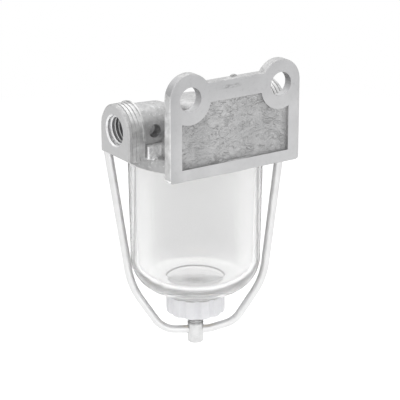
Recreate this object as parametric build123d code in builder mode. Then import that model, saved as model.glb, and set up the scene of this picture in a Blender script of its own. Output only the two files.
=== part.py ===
# Glass-bowl fuel water separator: die-cast two-port head with a wall plate, glass bowl,
# wire bail, clamp screw and thumb nut.
# Millimetres, +Z up. The origin is midway between the two mounting holes, on the mounting
# face. The wall is on the -Y side and the bowl hangs on the +Y side.
import os
from math import atan, cos, degrees, radians, sin, tan

from build123d import *

os.makedirs("parts", exist_ok=True)

# Wall plate
hole_pitch = 50.0
hole_d = 11.5
ear_r = 11.0
ear_stretch = 1.6
plate_t = 4.5
bar_rise = 6.6
plate_corner_r = 1.6
plate_edge_r = 0.6
pocket_depth = 1.6
pocket_side_bar = 6.4
pocket_bottom_bar = 5.6
pocket_top_drop = 2.6
gate_x = 1.0
gate_w = 3.2
gate_h = 0.8
gate_t = 1.2

# Where the bowl axis and the port axis lie
rim_trim = 0.2
port_drop = 19.3

# Ports, measured from the port axis and from the bowl axis
port_face_out = 44.7
boss_depth = 8.9
boss_r = 12.4
boss_flat = 12.6
boss_rib_w = 0.9
boss_rib_h = 0.5
boss_groove_w = 0.5
boss_groove_depth = 0.5
boss_groove_pitch = 1.9
boss_groove_count = 3
boss_edge = 0.7
boss_foot_back = 0.4
boss_foot_l = 5.6
boss_foot_h = 1.4
boss_foot_proud = 0.9
boss_foot_slope = 0.8
port_thread_d = 14.0
port_depth = 11.5
port_mouth_d = 15.4
port_drill_angle = 118.0

# Arms between the ports and the hub
arm_r_outer = 11.2
arm_r_inner = 10.7
arm_shoulder_out = 23.0
arm_neck_r = 6.8
arm_end_out = 14.0
pedestal_gap = 1.4
pedestal_half_w = 12.3
pedestal_top = 6.6
pedestal_corner_r = 1.4
pedestal_draft = 3.0
coring_back = 6.5
coring_d = 6.4
coring_depth = 6.0
coring_tip = 1.2

# Hub, dome and rim, heights measured from the port axis
hub_rise = 9.5
hub_r = 12.0
hub_edge_r = 3.6
dome_r = 20.0
dome_drop = 6.4
rim_wall = 1.45
rim_bottom_drop = 18.7
rim_edge_r = 1.2
rim_slope_rise = 1.0
rim_deck_w = 9.0

# Web that joins the hub to the wall plate
web_left = 27.0
web_right = 18.0
web_top_rise = 1.5
web_slope_in = 12.3
web_slope_out = 17.2

# Fuel passages
passage_d = 6.4
riser_d = 6.0
inlet_out = 22.5
cavity_r = 17.0
cavity_drop = 9.8

# Bowl seat
bowl_clearance = 0.3
seat_depth = 2.9
gasket_t = 2.0
gasket_w = 3.8

# Strainer
strainer_seat_depth = 1.2
strainer_seat_w = 1.6
strainer_clearance = 0.1
strainer_frame_w = 2.4
gauze_t = 0.4

# Glass bowl
bowl_top_r = 32.25
bowl_taper = 0.85
bowl_wall = 3.5
bowl_corner_drop = 70.5
bowl_corner_r = 16.4
bowl_floor_t = 6.6
bowl_inner_corner_r = 10.2
bowl_lip_r = 0.8
floor_recess_r = 14.4
floor_recess_depth = 0.6
floor_recess_edge = 0.25

# Bail and the lugs it hooks into
wire_d = 4.0
bail_angle = -30.0
pivot_drop = 9.0
pivot_clearance = 0.1
lug_depth = 3.5
lug_proud = 1.5
lug_r = 4.6
hook_reach = 1.0
hook_bend_r = 5.0
bail_top_left_gap = 7.0
bail_top_right_gap = 5.8
bail_waist_left_in = 2.6
bail_waist_left_rise = 23.4
bail_waist_right_in = 0.8
bail_waist_right_rise = 25.9
bail_foot_left = 16.1
bail_foot_right = 19.25
bail_foot_right_rise = 3.7
bail_run_end = 6.5
bail_waist_r = 36.0
bail_foot_r = 12.5
bail_run_r = 12.0

# Clamp screw, thumb nut, insert and washer
nut_backed_off = 2.2
nut_h = 9.6
nut_r = 14.4
nut_edge = 0.8
flute_count = 12
flute_r = 2.6
flute_depth = 0.9
screw_d = 7.9
screw_top_inset = 0.3
screw_run_drop = 10.3
screw_tail = 6.3
screw_tail_edge = 0.8
screw_clearance = 0.05
insert_wall = 1.95
washer_lap = 0.5
washer_t = 1.8
washer_proud = 0.3
washer_clearance = 0.1

# Derived places
seat_r = bowl_top_r + bowl_clearance
rim_r = seat_r + rim_wall
axis_out = rim_r - rim_trim
ear_x = hole_pitch / 2
plate_w = hole_pitch + 2 * ear_r
plate_drop = port_drop + rim_bottom_drop
port_z = -port_drop
rim_bottom_z = port_z - rim_bottom_drop
deck_z = port_z - boss_flat
ceiling_z = rim_bottom_z + seat_depth
arm_end = port_face_out - boss_depth
pedestal_out = arm_end - pedestal_gap
coring_out = arm_end - coring_back
bowl_r = bowl_top_r - bowl_taper
bowl_top_z = ceiling_z - gasket_t
bowl_corner_z = port_z - bowl_corner_drop
bowl_base_z = bowl_corner_z - bowl_corner_r
bowl_base_r = bowl_r - bowl_corner_r
nut_top_z = bowl_base_z - nut_backed_off
nut_bottom_z = nut_top_z - nut_h
washer_top_z = nut_top_z + washer_proud
washer_seat_z = washer_top_z - washer_t - washer_clearance
insert_r = screw_d / 2 + insert_wall
washer_r = insert_r + washer_lap
wire_r = wire_d / 2
lug_in = rim_r - lug_depth
lug_out = rim_r + lug_proud
hook_end = lug_in - hook_reach
run_drop = port_z - nut_bottom_z + screw_run_drop
run_z = port_z - run_drop

wall_face = Plane.XZ
bowl_axis = Axis((0, axis_out, 0), (0, 0, 1))
port_axis = Axis((0, axis_out, port_z), (1, 0, 0))
bowl_section = Plane(origin=(0, axis_out, 0), x_dir=(1, 0, 0), z_dir=(0, -1, 0))
port_section = Plane(origin=(0, axis_out, port_z), x_dir=(1, 0, 0), z_dir=(0, -1, 0))


def level(z):
    """Horizontal plane at height z with its centre on the bowl axis."""
    return Plane(origin=(0, axis_out, z), x_dir=(1, 0, 0), z_dir=(0, 0, 1))


def port_end(side, out):
    """Plane square to the port axis, facing outward, on side -1 (left) or +1 (right)."""
    return Plane(origin=(side * out, axis_out, port_z), x_dir=(0, side, 0), z_dir=(side, 0, 0))


def boss_outline(inset=0.0, mode=Mode.ADD):
    """Section of a port boss: round on top, straight sides and a flat underside."""
    radius = boss_r - inset
    depth = boss_flat - inset
    Circle(radius, mode=mode)
    with Locations((0, -depth / 2)):
        Rectangle(2 * radius, depth, mode=mode)


bail_dir = Vector(cos(radians(bail_angle)), sin(radians(bail_angle)), 0)
bail_plane = Plane(origin=(0, axis_out, port_z), x_dir=bail_dir, z_dir=bail_dir.cross(Vector(0, 0, 1)))


def across_bail(end, out, drop):
    """Plane square to the bail's pivot line, out from the bowl axis and below the port axis."""
    centre = Vector(0, axis_out, port_z - drop) + bail_dir * (end * out)
    return Plane(origin=centre, x_dir=bail_plane.z_dir * -end, z_dir=bail_dir * end)


# Die-cast head: wall plate, rim, dome, hub, two arms with port bosses, bail lugs and web
with BuildPart() as head_casting:
    # Wall plate with a round ear at each mounting hole
    with BuildSketch(wall_face) as plate_outline:
        with Locations((0, -plate_drop / 2)):
            Rectangle(plate_w, plate_drop)
        fillet(plate_outline.vertices().group_by(Axis.Y)[0], plate_corner_r)
        with Locations((-ear_x, 0), (ear_x, 0)):
            SlotCenterToCenter(ear_stretch, 2 * ear_r, rotation=90)
        with Locations((0, bar_rise / 2)):
            Rectangle(hole_pitch, bar_rise)
    extrude(amount=-plate_t)
    fillet(head_casting.faces().sort_by(Axis.Y)[0].outer_wire().edges(), plate_edge_r)

    # Shallow pocket in the mounting face, which leaves the ears and a frame standing
    pocket_top = -pocket_top_drop
    pocket_bottom = pocket_bottom_bar - plate_drop
    with BuildSketch(wall_face):
        with Locations((0, (pocket_top + pocket_bottom) / 2)):
            Rectangle(plate_w - 2 * pocket_side_bar, pocket_top - pocket_bottom)
        with Locations((-ear_x, 0), (ear_x, 0)):
            SlotCenterToCenter(ear_stretch, 2 * ear_r, rotation=90, mode=Mode.SUBTRACT)
    extrude(amount=-pocket_depth, mode=Mode.SUBTRACT)

    # Stub of the casting's gate on the top edge of the bar
    with BuildSketch(wall_face.offset(-plate_t)):
        with Locations((gate_x, bar_rise)):
            Ellipse(gate_w / 2, gate_h)
    extrude(amount=gate_t)

    # Rim, sloping deck, dome and hub, turned about the bowl axis
    with BuildSketch(bowl_section) as dome_profile:
        with BuildLine():
            Polyline(
                (0, rim_bottom_z),
                (rim_r, rim_bottom_z),
                (rim_r, deck_z),
                (rim_r - rim_deck_w, deck_z + rim_slope_rise),
                (dome_r, port_z - dome_drop),
                (hub_r, port_z),
                (hub_r, port_z + hub_rise),
                (0, port_z + hub_rise),
                close=True,
            )
        make_face()
        fillet(dome_profile.vertices().sort_by_distance((rim_r, deck_z))[0], rim_edge_r)
        fillet(dome_profile.vertices().sort_by_distance((hub_r, port_z + hub_rise))[0], hub_edge_r)
    revolve(axis=bowl_axis)

    # Pedestal under both arms
    with BuildSketch(level(deck_z)):
        RectangleRounded(2 * pedestal_out, 2 * pedestal_half_w, pedestal_corner_r)
    extrude(amount=boss_flat - pedestal_top, taper=pedestal_draft)

    # Round arms, turned about the port axis, with rounded inner shoulders
    with BuildSketch(port_section):
        with BuildLine():
            Polyline((-arm_end_out, arm_neck_r), (arm_end_out, arm_neck_r))
            TangentArc((arm_shoulder_out, arm_r_inner), (arm_end_out, arm_neck_r), tangent=(-1, 0))
            Polyline((arm_shoulder_out, arm_r_inner), (arm_end, arm_r_outer), (arm_end, 0))
            Polyline((arm_end, 0), (-arm_end, 0))
            Polyline((-arm_end, 0), (-arm_end, arm_r_outer), (-arm_shoulder_out, arm_r_inner))
            TangentArc((-arm_shoulder_out, arm_r_inner), (-arm_end_out, arm_neck_r), tangent=(1, 0))
        make_face()
    revolve(axis=port_axis)

    # Web between the hub and the wall plate
    with BuildSketch(Plane.YZ.offset(-web_left)):
        with BuildLine():
            Polyline(
                (plate_t - pocket_depth / 2, rim_bottom_z),
                (plate_t - pocket_depth / 2, port_z + web_top_rise),
                (axis_out - web_slope_out, port_z + web_top_rise),
                (axis_out - web_slope_in, port_z - pedestal_top),
                (axis_out, port_z - pedestal_top),
                (axis_out, rim_bottom_z),
                close=True,
            )
        make_face()
    extrude(amount=web_left + web_right)

    for side in (-1, 1):
        # Port boss with a rib at its inner end and a sloping foot along its underside
        with BuildSketch(port_end(side, port_face_out)):
            boss_outline()
        extrude(amount=-boss_depth)
        chamfer(head_casting.faces().sort_by(Axis.X)[-1 if side > 0 else 0].edges(), boss_edge)
        with BuildSketch(port_end(side, arm_end + boss_rib_w)):
            Circle(boss_r + boss_rib_h)
        extrude(amount=-boss_rib_w)
        with BuildSketch(level(deck_z)):
            with Locations((side * (arm_end - boss_foot_back + boss_foot_l / 2), 0)):
                Rectangle(boss_foot_l, 2 * (boss_r + boss_foot_proud))
        extrude(amount=boss_foot_h, taper=degrees(atan(boss_foot_slope / boss_foot_h)))

    for end in (-1, 1):
        # Lug that the bail hooks into, down the side of the rim
        with BuildSketch(across_bail(end, lug_in, pivot_drop)):
            Circle(lug_r)
            lug_drop = rim_bottom_drop - pivot_drop
            with Locations((0, -lug_drop / 2)):
                Rectangle(2 * lug_r, lug_drop)
        extrude(amount=lug_out - lug_in)
        with BuildSketch(across_bail(end, lug_in, pivot_drop)):
            Circle(wire_r + pivot_clearance)
        extrude(amount=lug_out - lug_in, mode=Mode.SUBTRACT)

    # Mounting face machined flat across the rim
    with BuildSketch(wall_face):
        Rectangle(4 * rim_r, 4 * rim_r)
    extrude(amount=rim_r, mode=Mode.SUBTRACT)

    # Seat for the bowl and gasket, strainer seat and outlet cavity, cut from below
    with BuildSketch(level(rim_bottom_z)):
        Circle(seat_r)
    extrude(amount=seat_depth, mode=Mode.SUBTRACT)
    with BuildSketch(level(ceiling_z)):
        Circle(cavity_r + strainer_seat_w)
    extrude(amount=strainer_seat_depth, mode=Mode.SUBTRACT)
    with BuildSketch(level(ceiling_z)):
        Circle(cavity_r)
    extrude(amount=port_z - cavity_drop - ceiling_z, mode=Mode.SUBTRACT)

    for side in (-1, 1):
        # Port at its thread's major diameter, with a countersunk mouth and a drilled end
        drill_tip = (port_thread_d - passage_d) / 2 / tan(radians(port_drill_angle / 2))
        with Locations(port_end(side, port_face_out)):
            CounterSinkHole(port_thread_d / 2, port_mouth_d / 2, port_depth, 90)
        with Locations(port_end(side, port_face_out - port_depth - drill_tip / 2)):
            Cone(passage_d / 2, port_thread_d / 2, drill_tip, mode=Mode.SUBTRACT)
        # Rings turned into the boss
        for ring in range(boss_groove_count):
            ring_out = port_face_out - boss_groove_pitch * (ring + 1)
            with BuildSketch(port_end(side, ring_out)):
                boss_outline(inset=-1.0)
                boss_outline(inset=boss_groove_depth, mode=Mode.SUBTRACT)
            extrude(amount=-boss_groove_w, mode=Mode.SUBTRACT)
        # Round coring in the arm, on the side that faces the wall plate
        coring = Plane(
            origin=(side * coring_out, axis_out - arm_r_outer, port_z),
            x_dir=(1, 0, 0),
            z_dir=(0, -1, 0),
        )
        with Locations(coring):
            Hole(coring_d / 2, coring_depth)
        with Locations(coring.offset(-coring_depth - coring_tip / 2)):
            Cone(coring_d / 16, coring_d / 2, coring_tip, mode=Mode.SUBTRACT)

    # Inlet passage: along the left arm, then down outside the strainer
    with Locations(port_end(-1, port_face_out)):
        Hole(passage_d / 2, port_face_out - inlet_out + passage_d / 2)
    with BuildSketch(level(ceiling_z)):
        with Locations((-inlet_out, 0)):
            Circle(riser_d / 2)
    extrude(amount=port_z - ceiling_z, mode=Mode.SUBTRACT)

    # Outlet passage: up from the cavity, then along the right arm
    with Locations(port_end(1, port_face_out)):
        Hole(passage_d / 2, port_face_out + passage_d / 2)
    with BuildSketch(level(port_z - cavity_drop)):
        Circle(riser_d / 2)
    extrude(amount=cavity_drop, mode=Mode.SUBTRACT)

    # Mounting holes through the ears
    with Locations(wall_face):
        with Locations((-ear_x, 0, 0), (ear_x, 0, 0)):
            Hole(hole_d / 2, plate_t)

# Strainer: a disc of gauze in a flat frame, pushed up into the outlet cavity's seat
frame_outer = cavity_r + strainer_seat_w - strainer_clearance
frame_inner = frame_outer - strainer_frame_w
gauze_r = (frame_outer + frame_inner) / 2
with BuildPart() as strainer_frame:
    with BuildSketch(level(ceiling_z)):
        Circle(frame_outer)
        Circle(frame_inner, mode=Mode.SUBTRACT)
    extrude(amount=strainer_seat_depth)
    with BuildSketch(level(ceiling_z + strainer_seat_depth)):
        Circle(gauze_r)
    extrude(amount=-gauze_t, mode=Mode.SUBTRACT)

with BuildPart() as strainer_gauze:
    with BuildSketch(level(ceiling_z + strainer_seat_depth)):
        Circle(gauze_r)
    extrude(amount=-gauze_t)

# Flat rubber gasket between the seat and the bowl's lip
with BuildPart() as bowl_gasket:
    with BuildSketch(level(bowl_top_z)):
        Circle(bowl_top_r)
        Circle(bowl_top_r - gasket_w, mode=Mode.SUBTRACT)
    extrude(amount=gasket_t)

# Pressed glass bowl: tapered wall, round corner and thick floor with a shallow round recess inside
with BuildPart() as glass_bowl:
    inner_r = bowl_r - bowl_wall
    floor_z = bowl_base_z + bowl_floor_t
    recess_z = floor_z - floor_recess_depth
    inner_corner_z = floor_z + bowl_inner_corner_r
    inner_top_r = bowl_top_r - bowl_wall
    draft = (bowl_top_r - bowl_r) / (bowl_top_z - bowl_corner_z)
    with BuildSketch(bowl_section) as bowl_profile:
        with BuildLine():
            Polyline((0, bowl_base_z), (bowl_base_r, bowl_base_z))
            TangentArc((bowl_r, bowl_corner_z), (bowl_base_r, bowl_base_z), tangent=(-draft, -1))
            Polyline((bowl_r, bowl_corner_z), (bowl_top_r, bowl_top_z), (inner_top_r, bowl_top_z))
            Polyline((inner_top_r, bowl_top_z), (inner_r, inner_corner_z))
            TangentArc(
                (inner_r, inner_corner_z),
                (inner_r - bowl_inner_corner_r, floor_z),
                tangent=(-draft, -1),
            )
            Polyline(
                (inner_r - bowl_inner_corner_r, floor_z),
                (floor_recess_r, floor_z),
                (floor_recess_r - floor_recess_edge, recess_z),
                (0, recess_z),
                (0, bowl_base_z),
            )
        make_face()
        fillet(bowl_profile.vertices().group_by(Axis.Y)[-1], bowl_lip_r)
    revolve(axis=bowl_axis)

# Wire bail, bent from one length of round wire, hooked into the lugs at both ends
with BuildPart() as bail_wire:
    with BuildLine(bail_plane) as bail_route:
        FilletPolyline(
            (-hook_end, -pivot_drop),
            (-lug_out - bail_top_left_gap, -pivot_drop),
            (bail_waist_left_in - rim_r, bail_waist_left_rise - run_drop),
            (-bail_foot_left, -run_drop),
            (bail_run_end, -run_drop),
            (bail_foot_right, bail_foot_right_rise - run_drop),
            (rim_r - bail_waist_right_in, bail_waist_right_rise - run_drop),
            (lug_out + bail_top_right_gap, -pivot_drop),
            (hook_end, -pivot_drop),
            radius=[hook_bend_r, bail_waist_r, bail_foot_r, bail_run_r, bail_foot_r, bail_waist_r, hook_bend_r],
        )
    with BuildSketch(across_bail(-1, hook_end, pivot_drop)):
        Circle(wire_r)
    sweep(path=bail_route.wire())

# Clamp screw: threaded pin with a cross hole for the bail's bottom run
with BuildPart() as clamp_screw:
    with BuildSketch(level(run_z - screw_tail)):
        Circle(screw_d / 2)
    extrude(amount=nut_top_z - screw_top_inset - (run_z - screw_tail))
    fillet(clamp_screw.edges().group_by(Axis.Z)[0], screw_tail_edge)
    chamfer(clamp_screw.edges().group_by(Axis.Z)[-1], screw_tail_edge)
    with BuildSketch(across_bail(1, 0, run_drop)):
        Circle(wire_r + pivot_clearance)
    extrude(amount=screw_d, both=True, mode=Mode.SUBTRACT)

# Thumb nut: moulded, with flutes round the grip and a recess for the washer
with BuildPart() as thumb_nut:
    with BuildSketch(level(nut_bottom_z)):
        Circle(nut_r)
        with PolarLocations(nut_r + flute_r - flute_depth, flute_count):
            Circle(flute_r, mode=Mode.SUBTRACT)
    extrude(amount=nut_h)
    fillet(thumb_nut.edges().group_by(Axis.Z)[0] + thumb_nut.edges().group_by(Axis.Z)[-1], nut_edge)
    with BuildSketch(level(nut_top_z)):
        Circle(washer_r + washer_clearance)
    extrude(amount=washer_seat_z - nut_top_z, mode=Mode.SUBTRACT)
    with BuildSketch(level(washer_seat_z)):
        Circle(insert_r)
    extrude(amount=-nut_h, mode=Mode.SUBTRACT)

# Threaded insert moulded into the nut
with BuildPart() as nut_insert:
    with BuildSketch(level(washer_seat_z)):
        Circle(insert_r)
        Circle(screw_d / 2 + screw_clearance, mode=Mode.SUBTRACT)
    extrude(amount=nut_bottom_z - washer_seat_z)

# Thrust washer between the nut and the bowl
with BuildPart() as thrust_washer:
    with BuildSketch(level(washer_top_z)):
        Circle(washer_r)
        Circle(screw_d / 2 + screw_clearance + washer_clearance, mode=Mode.SUBTRACT)
    extrude(amount=-washer_t)

head_casting.part.label = "head_casting"
strainer_frame.part.label = "strainer_frame"
strainer_gauze.part.label = "strainer_gauze"
bowl_gasket.part.label = "bowl_gasket"
glass_bowl.part.label = "glass_bowl"
bail_wire.part.label = "bail_wire"
clamp_screw.part.label = "clamp_screw"
thumb_nut.part.label = "thumb_nut"
nut_insert.part.label = "nut_insert"
thrust_washer.part.label = "thrust_washer"

export_step(head_casting.part, "parts/head_casting.step")
export_step(strainer_frame.part, "parts/strainer_frame.step")
export_step(strainer_gauze.part, "parts/strainer_gauze.step")
export_step(bowl_gasket.part, "parts/bowl_gasket.step")
export_step(glass_bowl.part, "parts/glass_bowl.step")
export_step(bail_wire.part, "parts/bail_wire.step")
export_step(clamp_screw.part, "parts/clamp_screw.step")
export_step(thumb_nut.part, "parts/thumb_nut.step")
export_step(nut_insert.part, "parts/nut_insert.step")
export_step(thrust_washer.part, "parts/thrust_washer.step")
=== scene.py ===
"""Glass-bowl fuel water separator: looks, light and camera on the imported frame."""
import math

import bmesh
import bpy
from mathutils import Matrix, Vector


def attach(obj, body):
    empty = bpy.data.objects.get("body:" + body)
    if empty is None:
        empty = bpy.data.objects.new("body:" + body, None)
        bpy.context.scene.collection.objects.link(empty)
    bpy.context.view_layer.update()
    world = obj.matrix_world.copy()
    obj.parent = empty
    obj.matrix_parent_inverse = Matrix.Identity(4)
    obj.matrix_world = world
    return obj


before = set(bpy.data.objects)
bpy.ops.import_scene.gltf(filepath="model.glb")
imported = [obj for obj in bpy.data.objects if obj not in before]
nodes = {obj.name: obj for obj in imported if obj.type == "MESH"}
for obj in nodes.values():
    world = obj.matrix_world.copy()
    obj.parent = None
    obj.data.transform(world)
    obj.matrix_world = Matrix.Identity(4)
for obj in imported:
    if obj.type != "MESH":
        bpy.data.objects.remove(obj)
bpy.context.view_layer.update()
scene = bpy.context.scene

# Places in the row frame, in metres: X along the ports, Y away from the wall, Z up
BOWL_Y = 0.0338  # the bowl's axis
PORT_Z = -0.0193  # the ports' axis
BOWL_FLOOR, RECESS_FLOOR = -0.0996, -0.1002
RECESS_RADIUS = 0.01435  # recess in the bowl's floor
NUT_TOP = -0.1084
SCREW_THREAD_END = -0.1248
SCREW_PITCH = 0.00125
PORT_PITCH = 0.002
PORT_MAJOR_RADIUS, PORT_MINOR_RADIUS = 0.00702, 0.00605
SCUFF_X, SCUFF_Z = -0.0032, 0.0033  # worn patch on the plate's top bar
STUDIO_FLOOR_Z = -0.42
AWAY = (0.557, 0.830, 0.0)  # the way the camera looks, seen from above

# Where the casting's finishes and its painted light begin and end, X by its distance from the
# middle
FLAT_Y = 0.0002  # the mounting face ends here
PORT_FACE_X = 0.0440
PORT_DEPTH_X, PORT_BORE_RADIUS = 0.0330, 0.0086
RINGS_X, RINGS_RADIUS = (0.0357, 0.0428), 0.0114
BOSS_UNDER_Z = PORT_Z - 0.0128  # flat underside of a port's boss
POCKET_X, POCKET_FLOOR_Y, POCKET_Z = 0.0298, 0.00165, (-0.0326, -0.0024)
PEDESTAL_X, PEDESTAL_HALF, PEDESTAL_Z = (0.02, 0.0349), 0.0128, (-0.0326, -0.0256)
PLATE_SIDE_X, PLATE_BACK_Y = 0.0302, 0.0044
HOLE_X, HOLE_RADIUS, HOLE_BACK_Y = 0.025, 0.0064, 0.0046


# shader helpers
def feed(tree, socket, value):
    """Link an output to a socket, or set the socket's constant."""
    if isinstance(value, bpy.types.NodeSocket):
        tree.links.new(value, socket)
    elif socket.type == "RGBA":
        socket.default_value = (*value, 1.0)
    else:
        socket.default_value = value


def add(tree, kind, inputs=None, **settings):
    """A new node, its inputs given by socket name or number as constants or outputs."""
    node = tree.nodes.new(kind)
    for key, value in settings.items():
        setattr(node, key, value)
    for socket, value in (inputs or {}).items():
        feed(tree, node.inputs[socket], value)
    return node


def blank_tree(owner):
    """The emptied node tree of a material or world."""
    owner.use_nodes = True
    owner.node_tree.nodes.clear()
    return owner.node_tree


def new_material(name):
    """A material with one Principled shader."""
    mat = bpy.data.materials.new(name)
    tree = blank_tree(mat)
    bsdf = add(tree, "ShaderNodeBsdfPrincipled")
    add(tree, "ShaderNodeOutputMaterial", {0: bsdf.outputs[0]})
    return mat, tree, bsdf


def finish(tree, bsdf, tone, rough, normal, metallic=0.0):
    """Feed the inputs that every piece's Principled shader shares."""
    feed(tree, bsdf.inputs["Base Color"], tone)
    feed(tree, bsdf.inputs["Roughness"], rough)
    feed(tree, bsdf.inputs["Normal"], normal)
    feed(tree, bsdf.inputs["Metallic"], metallic)


def position(tree, scale=(1.0, 1.0, 1.0)):
    """Object-space position, scaled per axis, for textures that stay on the part."""
    coords = add(tree, "ShaderNodeTexCoord")
    mapping = add(tree, "ShaderNodeMapping", {"Scale": scale, "Vector": coords.outputs["Object"]})
    return mapping.outputs["Vector"]


def split_axes(tree, vector):
    return add(tree, "ShaderNodeSeparateXYZ", {0: vector}).outputs


def noise(tree, vector, scale, detail=3.0, rough=0.55, distortion=0.0):
    inputs = {"Vector": vector, "Scale": scale, "Detail": detail}
    inputs.update({"Roughness": rough, "Distortion": distortion})
    return add(tree, "ShaderNodeTexNoise", inputs).outputs["Fac"]


def grey(value, blue=0.0):
    """A neutral colour, a little cooler by blue."""
    return (value, value, value + blue)


def ramp(tree, fac, stops):
    """Greys along fac, each stop a place and a tone."""
    node = add(tree, "ShaderNodeValToRGB", {"Fac": fac})
    elements = node.color_ramp.elements
    while len(elements) < len(stops):
        elements.new(0.5)
    for element, (place, tone) in zip(elements, stops):
        element.position = place
        element.color = (*grey(tone), 1.0)
    return node.outputs["Color"]


def spread(tree, value, low, high, to_low=0.0, to_high=1.0):
    """Map low..high onto to_low..to_high and hold the ends."""
    inputs = {"Value": value, "From Min": low, "From Max": high}
    inputs.update({"To Min": to_low, "To Max": to_high})
    return add(tree, "ShaderNodeMapRange", inputs).outputs["Result"]


def bump(tree, height, strength, distance, normal=None):
    """Relief in the shading only, on top of an earlier bump if one is given."""
    inputs = {"Height": height, "Strength": strength, "Distance": distance}
    if normal is not None:
        inputs["Normal"] = normal
    return add(tree, "ShaderNodeBump", inputs).outputs["Normal"]


def mix_colour(tree, fac, a, b, mode="MIX"):
    """From colour a to colour b by fac, each a constant or an output."""
    node = add(tree, "ShaderNodeMix", data_type="RGBA", blend_type=mode)
    for name, value in (("Factor", fac), ("A", a), ("B", b)):
        feed(tree, next(s for s in node.inputs if s.name == name and s.enabled), value)
    return next(s for s in node.outputs if s.enabled)


def tint(tree, tone, value, low, high, amount, colour, mode="MIX"):
    """Bring colour into tone, from none where value is low to amount where it is high."""
    return mix_colour(tree, spread(tree, value, low, high, 0.0, amount), tone, colour, mode)


def calc(tree, operation, *values, clamp=False):
    """A Math node on constants or outputs."""
    inputs = dict(enumerate(values))
    node = add(tree, "ShaderNodeMath", inputs, operation=operation, use_clamp=clamp)
    return node.outputs[0]


def product(tree, a, b):
    return calc(tree, "MULTIPLY", a, b)


def off_centre(tree, value, centre):
    """How far a value lies from centre, either way."""
    return calc(tree, "ABSOLUTE", calc(tree, "SUBTRACT", value, centre))


def from_axis(tree, xyz):
    """Distance from the bowl's axis."""
    across = calc(tree, "SUBTRACT", xyz["Y"], BOWL_Y)
    squares = calc(tree, "ADD", product(tree, xyz["X"], xyz["X"]), product(tree, across, across))
    return calc(tree, "SQRT", squares)


def along(tree, vector, direction):
    """How far a vector reaches in a direction."""
    inputs = {0: vector, 1: direction}
    return add(tree, "ShaderNodeVectorMath", inputs, operation="DOT_PRODUCT").outputs["Value"]


def seen_direct(tree, path):
    """1 for what the camera sees itself or through glass."""
    return calc(tree, "MAXIMUM", path["Is Camera Ray"], path["Is Transmission Ray"])


# materials
def cast_alloy():
    """As-cast aluminium: sandy grain, soft clouding, dark stains and light and dark specks."""
    mat, tree, bsdf = new_material("cast_alloy")
    where = position(tree)
    grain = noise(tree, where, 2400.0, 2.0, 0.6)
    cloud = noise(tree, where, 110.0, 4.0, 0.55)
    blotch = noise(tree, where, 420.0, 5.0, 0.6, 0.6)
    speck = noise(tree, where, 700.0, 4.0, 0.65)
    height = split_axes(tree, where)["Z"]
    tone = tint(tree, grey(0.44, 0.002), cloud, 0.32, 0.68, 1.0, grey(0.54))
    # painted shade: the rim, below the arms, is darker
    tone = tint(tree, tone, height, -0.029, -0.033, 1.0, grey(0.80, 0.002), "MULTIPLY")
    tone = tint(tree, tone, blotch, 0.45, 0.75, 0.6, grey(0.30, 0.002))
    tone = tint(tree, tone, speck, 0.60, 0.70, 0.7, grey(0.88))
    tone = tint(tree, tone, speck, 0.36, 0.30, 0.6, grey(0.16, 0.002))
    rough = spread(tree, blotch, 0.3, 0.7, 0.4, 0.58)
    fine = bump(tree, grain, 0.3, 0.00003)
    finish(tree, bsdf, tone, rough, bump(tree, blotch, 0.6, 0.0002, fine), 0.8)
    return mat


def linished_alloy():
    """Flat faces dressed smooth: even grey with faint scuffs and a worn patch on the top bar."""
    mat, tree, bsdf = new_material("linished_alloy")
    where = position(tree)
    cloud = noise(tree, where, 60.0, 3.0, 0.5)
    grain = noise(tree, where, 2000.0, 2.0, 0.6)
    scuff = noise(tree, where, 500.0, 4.0, 0.6, 0.4)
    fleck = noise(tree, where, 800.0, 4.0, 0.65)
    xyz = split_axes(tree, where)
    tone = tint(tree, grey(0.48, 0.005), cloud, 0.35, 0.65, 1.0, grey(0.53, 0.005))
    tone = tint(tree, tone, scuff, 0.60, 0.78, 0.6, grey(0.40, 0.005))
    # painted shade darkens the plate at its top and left, and the ports' faces are brighter
    tone = tint(tree, tone, xyz["Z"], -0.012, 0.004, 1.0, grey(0.89, 0.002), "MULTIPLY")
    tone = tint(tree, tone, xyz["X"], -0.028, -0.036, 1.0, grey(0.87, 0.002), "MULTIPLY")
    tone = tint(tree, tone, calc(tree, "ABSOLUTE", xyz["X"]), 0.0430, 0.0437, 0.6, grey(0.66))
    patch = product(
        tree,
        spread(tree, off_centre(tree, xyz["X"], SCUFF_X), 0.0035, 0.0065, 1.0, 0.0),
        spread(tree, off_centre(tree, xyz["Z"], SCUFF_Z), 0.0004, 0.0012, 1.0, 0.0),
    )
    worn = noise(tree, position(tree, (330.0, 330.0, 900.0)), 1.0, 4.0, 0.6, 0.5)
    worn = product(tree, patch, spread(tree, worn, 0.44, 0.56, 0.0, 0.75))
    tone = mix_colour(tree, worn, tone, grey(0.26, 0.002))
    tone = tint(tree, tone, fleck, 0.66, 0.72, 0.5, grey(0.24, 0.002))
    rough = spread(tree, scuff, 0.3, 0.7, 0.42, 0.55)
    fine = bump(tree, grain, 0.25, 0.00003)
    finish(tree, bsdf, tone, rough, bump(tree, scuff, 0.25, 0.0001, fine), 0.75)
    return mat


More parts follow.
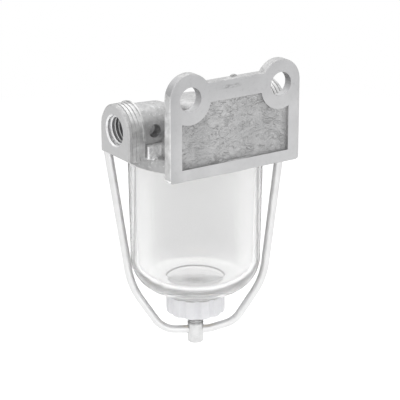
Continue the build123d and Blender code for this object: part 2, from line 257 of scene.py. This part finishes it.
def pocket_alloy():
    """Pocket floor: cold-flow creases and wrinkles left by the die, with painted shade toward the
    left.
    """
    mat, tree, bsdf = new_material("pocket_alloy")
    where = position(tree)
    flow = position(tree, (0.7, 1.0, 1.2))
    bend = noise(tree, flow, 210.0, 3.0, 0.6, 1.2)
    small = noise(tree, flow, 520.0, 4.0, 0.62, 1.8)
    cloud = noise(tree, where, 70.0, 4.0, 0.6)
    grain = noise(tree, where, 1500.0, 3.0, 0.6)
    calm = spread(tree, noise(tree, where, 170.0, 3.0, 0.6, 0.5), 0.38, 0.56, 0.35, 1.0)
    crease = spread(tree, off_centre(tree, bend, 0.5), 0.0, 0.028, 1.0, 0.0)
    crease = product(tree, crease, calm)
    wrinkle = spread(tree, off_centre(tree, small, 0.5), 0.0, 0.05, 1.0, 0.0)
    wrinkle = product(tree, wrinkle, calc(tree, "ADD", 0.3, product(tree, calm, 0.7)))
    side = split_axes(tree, where)["X"]
    tone = tint(tree, grey(0.385, 0.003), cloud, 0.35, 0.65, 1.0, grey(0.475, 0.002))
    # painted shade: darker toward the left
    tone = tint(tree, tone, side, -0.008, -0.024, 1.0, grey(0.89, 0.002), "MULTIPLY")
    tone = mix_colour(tree, product(tree, crease, 0.68), tone, grey(0.18, 0.002))
    tone = mix_colour(tree, product(tree, wrinkle, 0.45), tone, grey(0.66))
    rough = spread(tree, grain, 0.3, 0.7, 0.36, 0.5)
    height = calc(tree, "ADD", product(tree, crease, 0.8), product(tree, wrinkle, 0.5))
    height = calc(tree, "ADD", height, product(tree, grain, 0.5))
    finish(tree, bsdf, tone, rough, bump(tree, height, 0.8, 0.00035), 0.8)
    return mat


def turned_ring_alloy():
    """Band behind the port face, turned bright: fine turning lines and a few dull patches."""
    mat, tree, bsdf = new_material("turned_ring_alloy")
    turned = noise(tree, position(tree, (2600.0, 60.0, 60.0)), 1.0, 2.0, 0.5)
    patch = noise(tree, position(tree, (90.0, 260.0, 260.0)), 1.0, 4.0, 0.6, 0.4)
    tone = tint(tree, grey(0.50), patch, 0.35, 0.65, 1.0, grey(0.72))
    tone = tint(tree, tone, turned, 0.55, 0.75, 0.35, grey(0.40))
    rough = spread(tree, patch, 0.3, 0.7, 0.36, 0.5)
    fine = bump(tree, turned, 0.12, 0.00003)
    finish(tree, bsdf, tone, rough, bump(tree, patch, 0.8, 0.0004, fine), 0.85)
    return mat


def painted_light_alloy():
    """Places under the port arm painted bright as painted light, with ragged grey marks."""
    mat, tree, bsdf = new_material("painted_light_alloy")
    where = position(tree)
    marks = noise(tree, where, 380.0, 4.0, 0.65, 0.8)
    grain = noise(tree, where, 1900.0, 2.0, 0.6)
    # painted light: a bright tone where the lamps leave the casting dark
    tone = tint(tree, grey(0.70, 0.002), marks, 0.42, 0.62, 1.0, grey(0.99))
    rough = spread(tree, marks, 0.3, 0.7, 0.25, 0.45)
    fine = bump(tree, grain, 0.25, 0.00003)
    finish(tree, bsdf, tone, rough, bump(tree, marks, 0.9, 0.0004, fine), 0.45)
    return mat


def cut_thread_alloy():
    """Freshly cut thread in the ports: brighter than the cast skin, with painted shade deep inside.
    """
    mat, tree, bsdf = new_material("cut_thread_alloy")
    where = position(tree)
    chatter = noise(tree, where, 700.0, 3.0)
    side = calc(tree, "ABSOLUTE", split_axes(tree, where)["X"])
    tone = tint(tree, grey(0.62, 0.005), chatter, 0.3, 0.7, 1.0, grey(0.80, 0.005))
    # painted shade: darker deeper into the bore
    tone = tint(tree, tone, side, 0.0425, 0.0395, 0.8, grey(0.36, 0.002))
    rough = spread(tree, chatter, 0.3, 0.7, 0.3, 0.42)
    finish(tree, bsdf, tone, rough, bump(tree, chatter, 0.2, 0.00003), 0.7)
    return mat


def bail_steel():
    """Plated drawn wire: pale, with lines along its length."""
    mat, tree, bsdf = new_material("bail_steel")
    cloud = noise(tree, position(tree), 150.0, 4.0)
    drawn = noise(tree, position(tree, (1400.0, 1400.0, 60.0)), 1.0, 2.0)
    tone = tint(tree, grey(0.67), cloud, 0.35, 0.7, 1.0, grey(0.74))
    rough = spread(tree, cloud, 0.3, 0.7, 0.3, 0.38)
    finish(tree, bsdf, tone, rough, bump(tree, drawn, 0.1, 0.00002), 0.6)
    return mat


def screw_steel():
    """Clamp screw: bright turned pin, with painted shadow of the nut over the thread where the nut
    runs, and painted shade in the thread's grooves.
    """
    mat, tree, bsdf = new_material("screw_steel")
    where = position(tree)
    turned = noise(tree, position(tree, (20.0, 20.0, 3500.0)), 1.0, 2.0)
    cloud = noise(tree, where, 220.0, 4.0)
    height = split_axes(tree, where)["Z"]
    # the thread where the nut runs, which carries painted shadow of the nut
    band = product(
        tree,
        spread(tree, height, SCREW_THREAD_END - 0.0002, SCREW_THREAD_END + 0.0002),
        spread(tree, height, NUT_TOP - 0.0012, NUT_TOP - 0.0009, 1.0, 0.0),
    )
    turn = calc(tree, "FRACT", product(tree, height, 1.0 / SCREW_PITCH))
    groove = product(tree, band, product(tree, off_centre(tree, turn, 0.5), 2.0))
    tone = tint(tree, grey(0.50), cloud, 0.35, 0.7, 1.0, grey(0.60))
    # painted shadow of the nut, then painted shade in the thread's grooves
    tone = mix_colour(tree, product(tree, band, 0.45), tone, grey(0.25))
    tone = mix_colour(tree, product(tree, groove, 0.75), tone, grey(0.12))
    cut = bump(tree, calc(tree, "SUBTRACT", 1.0, groove), 0.6, 0.0003)
    finish(tree, bsdf, tone, 0.18, bump(tree, turned, 0.25, 0.00004, cut), 0.95)
    return mat


def bowl_glass():
    """Clear pressed glass: faint waviness and drag lines, with painted reflection and shade by how
    edge on the wall is seen, painted shade lower down and a painted dark line at the recess.
    """
    mat, tree, bsdf = new_material("bowl_glass")
    where = position(tree)
    wave = noise(tree, where, 35.0, 2.0)
    drag = noise(tree, position(tree, (260.0, 260.0, 14.0)), 1.0, 3.0, 0.5)
    # painted reflection and shade: the tint follows how edge on the glass is seen, a bright band
    # between a greyer middle and darker edges
    facing = add(tree, "ShaderNodeLayerWeight", {"Blend": 0.5}).outputs["Facing"]
    stops = (0.0, 0.1, 0.28, 0.34, 0.42, 0.62, 1.0)
    high_edge = (0.86, 0.87, 0.93, 0.94, 0.985, 0.94, 0.74)
    low_edge = (0.73, 0.74, 0.83, 0.91, 0.97, 0.93, 0.74)
    upper, lower = (ramp(tree, facing, tuple(zip(stops, e))) for e in (high_edge, low_edge))
    xyz = split_axes(tree, where)
    height = xyz["Z"]
    # painted shade: the bowl is greyer lower down, and below the recess floor it keeps almost none
    # of the painted shade
    tone = tint(tree, upper, height, -0.03, -0.085, 1.0, lower)
    tone = tint(tree, tone, height, -0.1008, -0.1022, 0.9, grey(0.98))
    tone = tint(tree, tone, drag, 0.35, 0.65, 0.12, grey(0.86))
    # painted shade: a dark line on the edge of the recess in the bowl's floor
    step = off_centre(tree, from_axis(tree, xyz), RECESS_RADIUS)
    step = product(
        tree,
        spread(tree, step, 0.0003, 0.0005, 1.0, 0.0),
        spread(tree, height, RECESS_FLOOR - 0.0004, RECESS_FLOOR - 0.0002),
    )
    top = spread(tree, height, BOWL_FLOOR + 0.0004, BOWL_FLOOR + 0.0006, 0.8, 0.0)
    tone = mix_colour(tree, product(tree, step, top), tone, grey(0.15))
    finish(tree, bsdf, tone, 0.0, bump(tree, wave, 0.15, 0.0006))
    bsdf.inputs["Transmission Weight"].default_value = 0.88
    bsdf.inputs["IOR"].default_value = 1.5
    # lamplight goes straight through, so the glass throws next to no shadow
    shadow = add(tree, "ShaderNodeLightPath").outputs["Is Shadow Ray"]
    clear = add(tree, "ShaderNodeBsdfTransparent", {"Color": grey(0.97)})
    both = add(tree, "ShaderNodeMixShader", {0: shadow, 1: bsdf.outputs[0], 2: clear.outputs[0]})
    out = next(n for n in tree.nodes if n.type == "OUTPUT_MATERIAL")
    feed(tree, out.inputs[0], both.outputs[0])
    return mat


def nut_moulding():
    """Moulded thumb nut: milky grey-white, with painted light on its top and painted shade on its
    top edge.
    """
    mat, tree, bsdf = new_material("nut_moulding")
    where = position(tree)
    grain = noise(tree, where, 1800.0, 2.0)
    cloud = noise(tree, where, 130.0, 3.0)
    xyz = split_axes(tree, where)
    tone = tint(tree, grey(0.77, 0.02), cloud, 0.35, 0.7, 1.0, grey(0.83, 0.02))
    # painted light: the top is paler
    top = (NUT_TOP - 0.0004, NUT_TOP - 0.0002)
    tone = tint(tree, tone, xyz["Z"], *top, 1.0, grey(0.97, 0.01))
    # painted shade at the top's outer edge, in the gap under the bowl
    rim = product(
        tree,
        spread(tree, xyz["Z"], NUT_TOP - 0.0005, NUT_TOP - 0.0003),
        spread(tree, from_axis(tree, xyz), 0.0128, 0.0132, 0.0, 0.8),
    )
    tone = mix_colour(tree, rim, tone, grey(0.42))
    finish(tree, bsdf, tone, 0.4, bump(tree, grain, 0.2, 0.00002))
    bsdf.inputs["Subsurface Weight"].default_value = 0.5
    bsdf.inputs["Subsurface Radius"].default_value = (1.0, 1.0, 1.0)
    bsdf.inputs["Subsurface Scale"].default_value = 0.005
    return mat


def turned_metal(name, low, high, rough, metallic=1.0):
    """Small turned pieces: a clouded tone between two colours."""
    mat, tree, bsdf = new_material(name)
    where = position(tree)
    tone = tint(tree, low, noise(tree, where, 240.0, 4.0), 0.35, 0.7, 1.0, high)
    grain = noise(tree, where, 900.0, 2.0)
    finish(tree, bsdf, tone, rough, bump(tree, grain, 0.15, 0.00003), metallic)
    return mat


def gasket_rubber():
    """Pale fibre-filled rubber."""
    mat, tree, bsdf = new_material("gasket_rubber")
    grain = noise(tree, position(tree), 1500.0, 3.0)
    tone = tint(tree, grey(0.55, -0.01), grain, 0.3, 0.7, 1.0, grey(0.66, -0.01))
    finish(tree, bsdf, tone, 0.75, bump(tree, grain, 0.3, 0.00004))
    return mat


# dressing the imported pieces
def dress(node, mats, finish_of=None):
    """Give a CAD piece its materials; finish_of picks one for each face."""
    mesh = nodes[node].data
    mesh.materials.clear()
    for mat in mats:
        mesh.materials.append(mat)
    for poly in mesh.polygons:
        poly.material_index = finish_of(poly.center, poly.normal) if finish_of else 0


# the fifth of these is painted light rather than a finish
CAST, LINISHED, POCKET, TURNED, PAINTED_LIGHT, CUT = range(6)


def within(value, limits):
    return limits[0] < value < limits[1]


def head_finish(c, n):
    """Which of the casting's six materials a face gets, one of them painted light, by its centre
    and normal.
    """
    side, from_port = abs(c.x), math.hypot(c.y - BOWL_Y, c.z - PORT_Z)
    from_hole = math.hypot(side - HOLE_X, c.z)
    in_pocket = side < POCKET_X and c.y < POCKET_FLOOR_Y and within(c.z, POCKET_Z)
    on_pedestal = within(side, PEDESTAL_X) and within(c.z, PEDESTAL_Z)
    if n.y < -0.9 and c.y < FLAT_Y:
        return LINISHED
    if abs(n.x) > 0.9 and side > PORT_FACE_X:
        return LINISHED
    if side > PORT_DEPTH_X and from_port < PORT_BORE_RADIUS:
        return CUT
    if in_pocket and n.y < -0.5:
        return POCKET
    # painted light on the underside of a port's boss
    if within(side, RINGS_X) and c.z <= BOSS_UNDER_Z:
        return PAINTED_LIGHT
    if within(side, RINGS_X) and from_port > RINGS_RADIUS:
        return TURNED
    # painted light on the pedestal under a port
    if on_pedestal and abs(c.y - BOWL_Y) < PEDESTAL_HALF:
        return PAINTED_LIGHT
    if side > PLATE_SIDE_X and c.y < PLATE_BACK_Y and abs(n.x) > 0.3:
        return LINISHED
    if from_hole < HOLE_RADIUS and c.y < HOLE_BACK_Y and abs(n.y) < 0.3:
        return LINISHED
    return CAST


BRASS = turned_metal("strainer_brass", (0.60, 0.46, 0.24), (0.72, 0.57, 0.32), 0.35)
THREAD = cut_thread_alloy()
HEAD = [cast_alloy(), linished_alloy(), pocket_alloy(), turned_ring_alloy(), painted_light_alloy()]
dress("head_casting", HEAD + [THREAD], head_finish)
for piece_node, piece_mat in (
    ("strainer_frame", BRASS),
    ("strainer_gauze", BRASS),
    ("bowl_gasket", gasket_rubber()),
    ("glass_bowl", bowl_glass()),
    ("bail_wire", bail_steel()),
    ("clamp_screw", screw_steel()),
    ("thumb_nut", nut_moulding()),
    ("nut_insert", turned_metal("insert_brass", (0.55, 0.42, 0.20), (0.68, 0.53, 0.28), 0.3)),
    ("thrust_washer", turned_metal("washer_steel", grey(0.70), grey(0.78), 0.45, 0.5)),
):
    dress(piece_node, [piece_mat])


# pieces added to the frame
def new_piece(name, bm, mat):
    """A smooth-shaded object of a bmesh."""
    mesh = bpy.data.meshes.new(name)
    bmesh.ops.recalc_face_normals(bm, faces=bm.faces)
    bm.to_mesh(mesh)
    bm.free()
    obj = bpy.data.objects.new(name, mesh)
    scene.collection.objects.link(obj)
    mesh.materials.append(mat)
    for poly in mesh.polygons:
        poly.use_smooth = True
    return obj


def helix_ridge(bm, place, profile, pitch, turns, steps, fade):
    """A ridge of (along, radius) profile points on a helix, fading over fade turns at each end."""
    root = profile[0][1]
    rows = []
    for i in range(int(turns * steps) + 1):
        turn = i / steps
        full = max(0.0, min(1.0, turn / fade, (turns - turn) / fade))
        angle = 2 * math.pi * turn
        row = [(pitch * turn + x, root + (r - root) * full) for x, r in profile]
        rows.append([bm.verts.new(place(angle, x, r)) for x, r in row])
    for low, high in zip(rows, rows[1:]):
        for k in range(len(profile)):
            j = (k + 1) % len(profile)
            bm.faces.new((low[k], low[j], high[j], high[k]))
    bm.faces.new(rows[0][::-1])
    bm.faces.new(rows[-1])


def port_thread(side, name):
    """Female thread cut in a port, drawn as the ridge that stands in from the bore's wall."""
    bm = bmesh.new()
    start = 0.0342
    foot, crest = 0.00086, 0.00012  # half widths of the ridge
    profile = [
        (-foot, PORT_MAJOR_RADIUS),
        (-crest, PORT_MINOR_RADIUS),
        (crest, PORT_MINOR_RADIUS),
        (foot, PORT_MAJOR_RADIUS),
    ]

    def place(angle, x, r):
        y, z = BOWL_Y + r * math.cos(angle), PORT_Z + r * math.sin(angle)
        return Vector((side * (start + x), y, z))

    helix_ridge(bm, place, profile, PORT_PITCH, turns=4.6, steps=56, fade=0.35)
    piece = new_piece(name, bm, THREAD)
    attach(piece, "head")


port_thread(-1, "port_thread_left")
port_thread(1, "port_thread_right")


# floor, light and camera
def pale_floor():
    """White paper that metal mirrors darker on the far side and that fades out to white."""
    mesh = bpy.data.meshes.new("floor")
    half = 6.0
    corners = [(-half, -half), (half, -half), (half, half), (-half, half)]
    mesh.from_pydata([(x, y, STUDIO_FLOOR_Z) for x, y in corners], [], [(0, 1, 2, 3)])
    floor = bpy.data.objects.new("floor", mesh)
    scene.collection.objects.link(floor)
    mat = bpy.data.materials.new("floor")
    tree = blank_tree(mat)
    path = add(tree, "ShaderNodeLightPath").outputs
    where = add(tree, "ShaderNodeNewGeometry").outputs["Position"]
    reach = add(tree, "ShaderNodeVectorMath", {0: where}, operation="LENGTH").outputs["Value"]
    glossy = path["Is Glossy Ray"]
    mirrored = calc(tree, "SUBTRACT", glossy, path["Is Transmission Ray"], clamp=True)
    shade = product(tree, mirrored, spread(tree, along(tree, where, AWAY), 0.5, 0.85))
    tone = mix_colour(tree, shade, grey(0.8), grey(0.35))
    paper = add(tree, "ShaderNodeBsdfDiffuse", {"Color": tone})
    direct = seen_direct(tree, path)
    seen = calc(tree, "MAXIMUM", direct, calc(tree, "SUBTRACT", glossy, shade))
    light = {"Color": grey(1.0), "Strength": product(tree, seen, 0.5)}
    glow = add(tree, "ShaderNodeEmission", light)
    near = add(tree, "ShaderNodeAddShader", {0: paper.outputs[0], 1: glow.outputs[0]})
    white = add(tree, "ShaderNodeEmission", {"Color": grey(1.0)})
    fade = product(tree, direct, spread(tree, reach, 0.8, 1.6))
    blend = add(tree, "ShaderNodeMixShader", {0: fade, 1: near.outputs[0], 2: white.outputs[0]})
    add(tree, "ShaderNodeOutputMaterial", {0: blend.outputs[0]})
    mesh.materials.append(mat)


def studio_world():
    """White where it is seen, grey as light, and with a dark low far side for metal to mirror."""
    world = bpy.data.worlds.new("studio")
    scene.world = world
    tree = blank_tree(world)
    path = add(tree, "ShaderNodeLightPath").outputs
    where = add(tree, "ShaderNodeTexCoord").outputs["Generated"]
    up = split_axes(tree, where)["Z"]
    height = spread(tree, up, -0.1, 0.9)
    sky = ramp(tree, height, ((0.0, 0.38), (0.45, 0.55), (1.0, 0.85)))
    shiny = ramp(tree, height, ((0.0, 0.95), (0.35, 1.0), (1.0, 0.8)))
    far = spread(tree, along(tree, where, AWAY), 0.45, 0.7)
    low = product(tree, far, spread(tree, up, 0.0, 0.15, 1.0, 0.0))
    shiny = mix_colour(tree, low, shiny, grey(0.25))
    tone = mix_colour(tree, path["Is Glossy Ray"], sky, shiny)
    tone = mix_colour(tree, seen_direct(tree, path), tone, grey(1.0))
    back = add(tree, "ShaderNodeBackground", {"Color": tone, "Strength": 1.0})
    add(tree, "ShaderNodeOutputWorld", {0: back.outputs[0]})


def lamp(name, place, size, power):
    """A rectangular lamp aimed at the middle of the part."""
    target = Vector((0.0, 0.03, -0.06))
    data = bpy.data.lights.new(name, "AREA")
    data.shape = "RECTANGLE"
    data.size, data.size_y = size
    data.energy = power
    obj = bpy.data.objects.new(name, data)
    scene.collection.objects.link(obj)
    turn = (target - Vector(place)).to_track_quat("-Z", "Y").to_matrix().to_4x4()
    obj.matrix_world = Matrix.Translation(place) @ turn


def photo_camera():
    """The photo's camera, as fitted to the mounting holes, port, rim, bowl and bail."""
    turn, tilt = math.radians(33.88), math.radians(18.79)
    distance, shift_right, shift_down = 0.81063, 0.00224, 0.03979
    focal_px, picture_px, sensor = 1714.55, 400.0, 36.0
    flat = math.cos(tilt)
    look = Vector((math.sin(turn) * flat, math.cos(turn) * flat, -math.sin(tilt)))
    right = Vector((math.cos(turn), -math.sin(turn), 0.0))
    up = right.cross(look)
    data = bpy.data.cameras.new("photo_camera")
    data.sensor_fit = "HORIZONTAL"
    data.sensor_width = sensor
    data.lens = focal_px * sensor / picture_px
    data.clip_start, data.clip_end = 0.05, 50.0
    camera = bpy.data.objects.new("photo_camera", data)
    scene.collection.objects.link(camera)
    centre = Vector((0.0, BOWL_Y, PORT_Z))
    place = centre - look * distance + right * shift_right - up * shift_down
    rotation = Matrix((right, up, -look)).transposed().to_4x4()
    camera.matrix_world = Matrix.Translation(place) @ rotation
    scene.camera = camera


pale_floor()
studio_world()
lamp("key", (-0.75, -0.55, 0.75), (1.1, 1.1), 2.7)
lamp("fill", (0.8, -0.7, 0.35), (0.8, 0.8), 1.5)
lamp("front", (-0.45, -1.25, 0.12), (1.2, 1.0), 3.0)
lamp("top", (0.0, 0.35, 1.0), (1.9, 1.5), 9.5)
photo_camera()
scene.view_settings.view_transform = "Standard"
scene.cycles.max_bounces = 48
scene.cycles.transmission_bounces = 48
scene.cycles.glossy_bounces = 24
